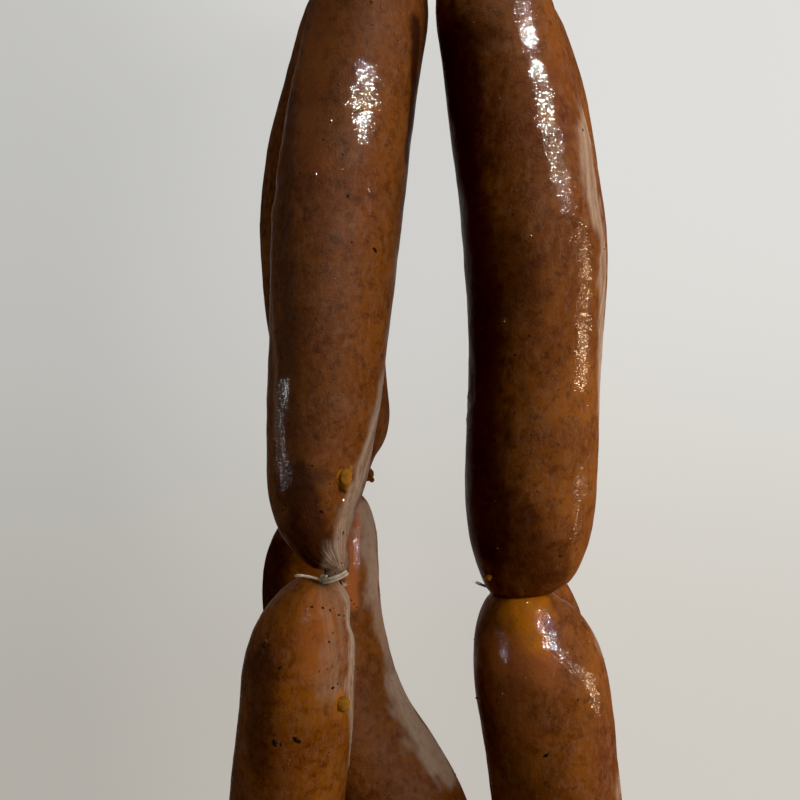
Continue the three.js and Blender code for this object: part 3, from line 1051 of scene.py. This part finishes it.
def colour_setting(name, description, colour):
    """A setting for a colour."""
    return FloatVectorProperty(name=name, description=description, default=colour, subtype="COLOR")


def count_setting(name, description, number):
    """A setting for a number of things."""
    return IntProperty(name=name, description=description, default=number, min=0)


class CasingSettings(bpy.types.PropertyGroup):
    """Sizes and colours of the casing."""

    levels: IntProperty(
        name="Fineness", description="How often each patch is divided", default=3, min=1, max=3)
    swell: length_setting("Swell", "How far the smooth skin is set out", 0.2)
    lump: length_setting("Lumps", "Height of the wide lumps", 0.32)
    ripple: length_setting("Ripple", "Height of the small ripples", 0.07)
    pleat: length_setting("Pleats", "Depth of the pleats at a tie", 0.20)
    pleat_reach: length_setting("Pleat reach", "How far the pleats run from a tie", 14)
    brown: colour_setting("Brown", "Main colour", (0.132, 0.036, 0.0045))
    orange: colour_setting("Orange", "Colour of the lighter patches", (0.200, 0.059, 0.0055))
    red: colour_setting("Red", "Colour of the redder patches", (0.120, 0.028, 0.0065))
    haze: colour_setting("Haze", "Colour of the cloudy patches", (0.200, 0.084, 0.036))
    # Dark: random dark mottling, and painted shade on the sides turned away from the light
    dark: colour_setting("Dark", "Colour of the dark smoked side", (0.022, 0.0036, 0.0006))
    # Pale: dry gathered casing, and painted sheen along the links' edges
    pale: colour_setting("Pale", "Colour of dry gathered casing", (0.360, 0.250, 0.175))
    # Bright: mostly painted light on patches that should look more lit
    bright: colour_setting("Bright", "Colour of the bright orange areas", (0.320, 0.090, 0.020))
    cheese: colour_setting("Cheese", "Cheese seen through the casing", (0.400, 0.124, 0.001))
    fleck: colour_setting("Fleck", "Spice flecks in the meat", (0.020, 0.008, 0.004))


class TwineSettings(bpy.types.PropertyGroup):
    """Sizes and colours of the ties."""

    radius: length_setting("Radius", "Radius of the twine", 0.38)
    pitch: length_setting("Twist", "Length of one turn of the plies", 1.8)
    wrap_radius: length_setting("Wrap radius", "Radius of the wraps round a neck", 3.55)
    clean: colour_setting("Clean", "Colour of clean twine", (0.62, 0.56, 0.44))
    stained: colour_setting("Stained", "Colour of twine stained with fat", (0.34, 0.23, 0.12))


class ToppingSettings(bpy.types.PropertyGroup):
    """Colours and amounts of cheese, pepper, crumbs and fat."""

    cheese: colour_setting("Cheese", "Melted cheese", (0.30, 0.130, 0.014))
    toasted: colour_setting("Toasted cheese", "Browned spots of the cheese", (0.21, 0.080, 0.010))
    pepper: colour_setting("Pepper", "Pepper and char", (0.012, 0.007, 0.004))
    crumb: colour_setting("Crumb", "Crumbs on the casing", (0.16, 0.065, 0.022))
    fat: colour_setting("Fat", "Drops of fat", (0.21, 0.080, 0.018))
    pepper_count: count_setting("Pepper grains", "Grains scattered beside the listed ones", 70)
    fat_count: count_setting("Fat drops", "Drops scattered beside the listed ones", 1300)
    crumb_count: count_setting("Crumbs", "Crumbs scattered beside the listed ones", 90)


class StageSettings(bpy.types.PropertyGroup):
    """Camera, floor and light."""

    camera: FloatVectorProperty(
        name="Camera", description="Where the camera stands", default=CAMERA_AT, subtype="TRANSLATION",
        precision=4)
    lens: FloatProperty(
        name="Lens", description="Focal length in mm", default=SENSOR_WIDTH * PHOTO_FOCAL / PHOTO_SIDE)
    floor: colour_setting("Floor", "Colour of the floor", (0.15, 0.15, 0.145))
    glow: FloatProperty(name="Floor glow", description="Light that the floor itself gives", default=0.50)
    side: power_setting("Side light", "Power of the wide light at the right", 16)
    fill: power_setting("Fill light", "Power of the wide light above", 7)
    key: power_setting("Key light", "Power of the small bright lights", 42)
    glint: power_setting("Glint light", "Power of the light on the drops of fat", 450)
    warm: power_setting("Warm light", "Power of the warm strip", 0.9)
    back: power_setting("Back light", "Power of the light on the links behind", 6)
    wall: power_setting("Wall light", "Power of the far wall that only reflections show", 3.2)
    room: FloatProperty(name="Room light", description="Brightness of the surroundings", default=0.03)


# Operators


class SAUSAGE_OT_casing(bpy.types.Operator):
    """Dresses every link in its casing"""

    bl_idname = "sausage.casing"
    bl_label = "Casing"

    def execute(self, context):
        sizes = context.scene.sausage_casing
        material = casing_finish(sizes)
        lines = {name: CentreLine(name) for name in LINKS}
        for name in LINKS:
            dress_link(name, lines, sizes, material)
        return {"FINISHED"}


class SAUSAGE_OT_twine(bpy.types.Operator):
    """Ties the links off with twine"""

    bl_idname = "sausage.twine"
    bl_label = "Twine"

    def execute(self, context):
        sizes = context.scene.sausage_twine
        material = twine_finish(sizes)
        lines = {name: CentreLine(name) for name in LINKS}
        for index, name in enumerate(TIES):
            tie_twine(name, lines, sizes, material, np.random.default_rng(TIE_SEED + index))
        return {"FINISHED"}


class SAUSAGE_OT_cheese(bpy.types.Operator):
    """Lets melted cheese out through the casing"""

    bl_idname = "sausage.cheese"
    bl_label = "Cheese"

    def execute(self, context):
        look = context.scene.sausage_topping
        bundle = Bundle()
        for index, (link, pixel, size, lift) in enumerate(CHEESE_BEADS):
            place, normal = photo_spot(link_tree(link), *pixel)
            centre = np.array(place) + np.array(normal) * lift * MM
            bundle.take(*pebble(centre, normal, np.array(size) * MM, BEAD_SEED + index, detail=3, rough=0.18))
        piece = show("cheese_beads", bundle.mesh("cheese_beads"), cheese_finish(look))
        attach(piece, "root")
        return {"FINISHED"}


class SAUSAGE_OT_specks(bpy.types.Operator):
    """Strews pepper, crumbs and drops of fat on the links"""

    bl_idname = "sausage.specks"
    bl_label = "Pepper, crumbs and fat"

    def execute(self, context):
        look = context.scene.sausage_topping
        pepper = speck_finish("pepper", tuple(3 * c for c in look.pepper), look.pepper, 0.45)
        crumbs = speck_finish("crumbs", look.crumb, tuple(0.35 * c for c in look.crumb), 0.4)
        fat = speck_finish("fat", look.fat, tuple(0.5 * c for c in look.fat), 0.08)
        finishes = (pepper, crumbs, fat)
        counts = (look.pepper_count, look.crumb_count, look.fat_count)
        for (name, spots, thickness, sink, seed, radii), finish, number in zip(GRAINS, finishes, counts):
            place_spots(spots, name, finish, thickness, sink, seed, scattered(number, *radii, seed + 1))
        return {"FINISHED"}


# Stage

FLOOR_HALF = 3.0
BLACK_LEVEL = 0.002
LAMP_DISTANCE = 1.3
WHITE = (1, 0.98, 0.96)


def lamp(name, way, size, watts, colour, target, glossy=True, diffuse=True, distance=LAMP_DISTANCE):
    """A rectangular light that faces the string."""
    data = bpy.data.lights.new(name, "AREA")
    data.shape = "RECTANGLE"
    data.size, data.size_y = size
    data.energy = watts
    data.color = colour
    holder = bpy.data.objects.new(name, data)
    way = Vector(way).normalized()
    holder.location = target + way * distance
    holder.rotation_euler = way.to_track_quat("Z", "Y").to_euler()
    holder.visible_glossy = glossy
    holder.visible_diffuse = diffuse
    holder.visible_camera = False
    bpy.context.scene.collection.objects.link(holder)
    return holder


def light_only(holder, pieces, shade=True):
    """Lets a light reach the given pieces alone, in the other pieces' shade or not."""
    lit = bpy.data.collections.new(holder.name + "_lit")
    for piece in pieces:
        lit.objects.link(piece)
    holder.light_linking.receiver_collection = lit
    if not shade:
        holder.light_linking.blocker_collection = lit


def small_light(name, way, side, watts, target, pieces, colour=WHITE):
    """A small square light that shows only as glints on the given pieces."""
    light_only(lamp(name, way, (side, side), watts, colour, target, diffuse=False), pieces)


def room_light(strength):
    """Dim even surroundings."""
    world = bpy.data.worlds.new("room")
    world.use_nodes = True
    shade = world.node_tree.nodes["Background"]
    shade.inputs["Color"].default_value = (0.95, 0.97, 1.0, 1)
    shade.inputs["Strength"].default_value = strength
    bpy.context.scene.world = world


class SAUSAGE_OT_stage(bpy.types.Operator):
    """Sets the floor, the light and the camera"""

    bl_idname = "sausage.stage"
    bl_label = "Stage"

    def execute(self, context):
        stage = context.scene.sausage_stage
        corners = [(x * FLOOR_HALF, y * FLOOR_HALF, 0) for x, y in ((-1, -1), (1, -1), (1, 1), (-1, 1))]
        material = floor_finish(tuple(stage.floor), stage.glow)
        floor = show("floor", mesh_of("floor", corners, [(0, 1, 2, 3)]), material)
        floor.visible_glossy = False
        floor.visible_shadow = False

        middle = Vector((stage.camera[0], stage.camera[1], SKIN_HEIGHT))
        casing = {i: bpy.data.objects[f"link_{i}_casing"] for i in range(1, 9)}
        right = [casing[i] for i in (5, 6, 7, 8)]
        left = [casing[i] for i in (2, 3, 4)]
        behind = [casing[i] for i in (3, 4)]
        front = [casing[i] for i in (1, 2, 7, 8)]
        edges = [casing[i] for i in (1, 2, 8)]
        lamp("side", (0.90, 0.20, 0.42), (0.8, 0.8), stage.side, (1, 0.96, 0.90), middle, glossy=False)
        lamp("fill", (0.30, 0.40, 1.00), (1.4, 1.4), stage.fill, WHITE, middle, glossy=False, distance=1.4)
        small_light("key_right", (0.50, 0.58, 0.64), 0.06, stage.key, middle, right)
        small_light("key_left", (0.36, 0.41, 0.83), 0.09, 1.7 * stage.key, middle, left)
        small_light("key_low", (0.22, 0.75, 0.62), 0.08, 0.11 * stage.key, middle, [casing[1]])
        small_light("key_side", (-0.95, 0, 0.25), 0.10, 0.09 * stage.key, middle, edges)
        small_light("glint", (0.41, 0.32, 0.86), 0.2, stage.glint, middle, [bpy.data.objects["fat_drops"]])
        warm = lamp(
            "warm", (0.97, 0.05, 0.20), (0.22, 0.12), stage.warm, (1, 0.66, 0.36), middle, distance=0.9)
        light_only(warm, right)
        small_light(
            "ember", (0.985, -0.07, 0.11), 0.10, 0.2 * stage.key, middle, right, (1, 0.70, 0.42))
        back = lamp("back", (0.80, 0.05, 0.60), (0.5, 0.5), stage.back, WHITE, middle, glossy=False)
        light_only(back, behind, shade=False)
        wall = lamp(
            "wall", (0, 0, -1), (0.7, 0.7), stage.wall, (1, 0.99, 0.96), middle, diffuse=False, distance=0.6)
        light_only(wall, front)
        room_light(stage.room)

        data = bpy.data.cameras.new("camera")
        data.lens = stage.lens
        data.sensor_width = SENSOR_WIDTH
        data.clip_start = 0.01
        camera = bpy.data.objects.new("camera", data)
        camera.location = stage.camera
        context.scene.collection.objects.link(camera)
        context.scene.camera = camera
        view = context.scene.view_settings
        view.view_transform = "Standard"
        view.use_curve_mapping = True
        view.curve_mapping.black_level = (BLACK_LEVEL,) * 3
        view.curve_mapping.update()
        return {"FINISHED"}


class SAUSAGE_PT_panel(bpy.types.Panel):
    """Buttons and settings of the sausage string"""

    bl_idname = "SAUSAGE_PT_panel"
    bl_label = "Sausage string"
    bl_space_type = "VIEW_3D"
    bl_region_type = "UI"
    bl_category = "Sausages"

    def draw(self, context):
        for group, operators in GROUPS.items():
            box = self.layout.box()
            settings = getattr(context.scene, group)
            for key in settings.bl_rna.properties.keys():
                if key not in ("rna_type", "name"):
                    box.prop(settings, key)
            for operator in operators:
                box.operator(operator.bl_idname)


GROUPS = {
    "sausage_casing": (SAUSAGE_OT_casing,),
    "sausage_twine": (SAUSAGE_OT_twine,),
    "sausage_topping": (SAUSAGE_OT_cheese, SAUSAGE_OT_specks),
    "sausage_stage": (SAUSAGE_OT_stage,),
}

SETTINGS = {
    "sausage_casing": CasingSettings,
    "sausage_twine": TwineSettings,
    "sausage_topping": ToppingSettings,
    "sausage_stage": StageSettings,
}

CLASSES = (
    *SETTINGS.values(), SAUSAGE_OT_casing, SAUSAGE_OT_twine, SAUSAGE_OT_cheese, SAUSAGE_OT_specks,
    SAUSAGE_OT_stage, SAUSAGE_PT_panel,
)


def register():
    for cls in CLASSES:
        bpy.utils.register_class(cls)
    for name, cls in SETTINGS.items():
        setattr(bpy.types.Scene, name, PointerProperty(type=cls))


def unregister():
    for name in SETTINGS:
        delattr(bpy.types.Scene, name)
    for cls in reversed(CLASSES):
        bpy.utils.unregister_class(cls)


def main():
    register()
    bpy.ops.sausage.casing()
    bpy.ops.sausage.twine()
    bpy.ops.sausage.cheese()
    bpy.ops.sausage.specks()
    bpy.ops.sausage.stage()


if __name__ == "__main__":
    main()
